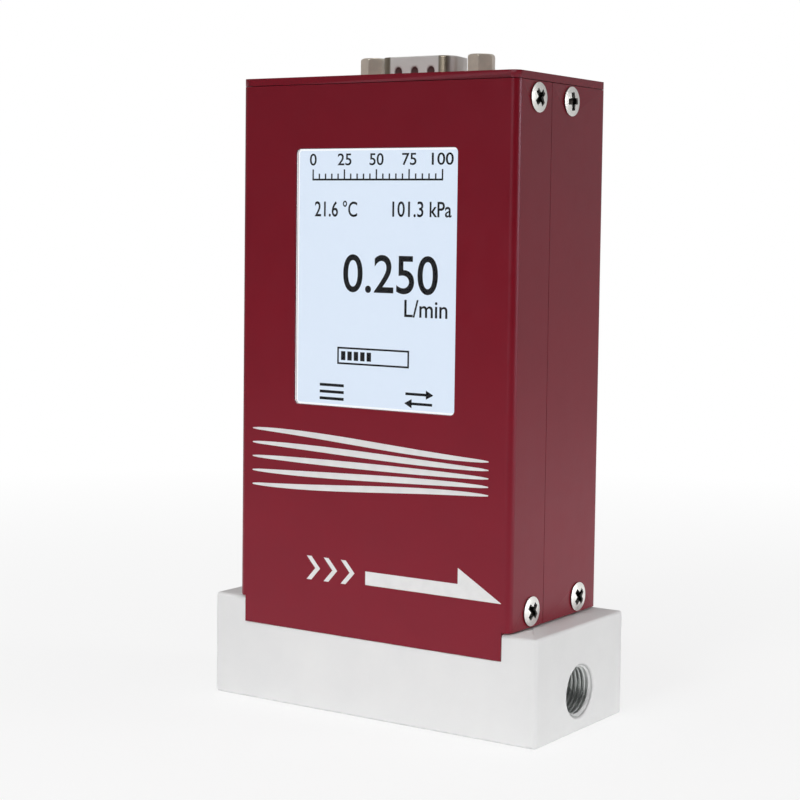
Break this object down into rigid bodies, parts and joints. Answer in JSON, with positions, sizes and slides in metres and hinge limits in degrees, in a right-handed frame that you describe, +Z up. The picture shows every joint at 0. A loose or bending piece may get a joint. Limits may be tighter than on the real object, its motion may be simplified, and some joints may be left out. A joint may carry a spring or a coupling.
{
  "type": "laminar mass flow meter",
  "caption": "Gas mass flow meter: aluminium base block with threaded ports, dark red folded sheet housing, touch display in front and a D-shaped connector on top.",
  "frame": {"origin": "middle of the base block's underside", "axes": "+X along the flow from inlet to outlet, -Y out of the display face, +Z up to the connector"},
  "size_m": [0.0748, 0.033, 0.1268],
  "materials": {
    "block_aluminium": "sand-blasted, clear anodised",
    "red_cover": "satin dark red, fine texture",
    "screw_steel": "nickel plated, slightly dull",
    "display_glass": "clear, anti-glare",
    "display_screen": "lit display face in a pressed frame",
    "element_steel": "turned stainless steel",
    "seal_rubber": "moulded black rubber",
    "foam": "closed-cell foam",
    "manifold_aluminium": "milled, bare",
    "sensor_case": "moulded, matte",
    "sensor_can": "deep-drawn steel",
    "board": "green solder mask",
    "chip": "moulded epoxy",
    "socket_plastic": "moulded, natural",
    "cable": "white film, flat",
    "capacitor_can": "drawn can",
    "brass_post": "turned brass",
    "connector_nickel": "nickel-plated pressed steel",
    "insulator": "moulded black plastic",
    "contact_gold": "gold flash"
  },
  "bodies": {
    "root": {"flow_body": "block_aluminium", "laminar_flow_element": "element_steel", "element_seal": "seal_rubber", "element_retaining_ring": "element_steel", "inlet_screen": "element_steel", "outlet_screen": "element_steel", "manifold_gasket": "seal_rubber", "sensor_manifold": "manifold_aluminium", "differential_pressure_sensor": "sensor_case", "absolute_pressure_sensor": "sensor_can", "absolute_sensor_seal": "seal_rubber", "sensor_port_seals": "seal_rubber", "temperature_probe": "sensor_can", "sensor_board": "board", "sensor_board_socket": "socket_plastic", "sensor_cable": "cable", "main_board_socket": "socket_plastic", "main_board": "board", "microcontroller": "chip", "power_module": "chip", "filter_capacitor": "capacitor_can", "display_window": "display_glass", "display_module": "display_screen", "display_gasket": "foam", "front_cover": "red_cover", "rear_cover": "red_cover", "top_plate": "red_cover", "connector_board": "board", "link_header": "insulator", "dsub_shell": "connector_nickel", "dsub_insulator": "insulator", "dsub_pins": "contact_gold", "front_cover_screws": "screw_steel", "rear_cover_screws": "screw_steel", "cover_rails": "manifold_aluminium", "rail_screws": "screw_steel", "manifold_standoffs": "brass_post", "sensor_board_screws": "screw_steel", "board_standoffs": "brass_post", "board_screws": "screw_steel", "jackscrews": "screw_steel", "jackscrew_nuts": "screw_steel"}
  },
  "joints": []
}
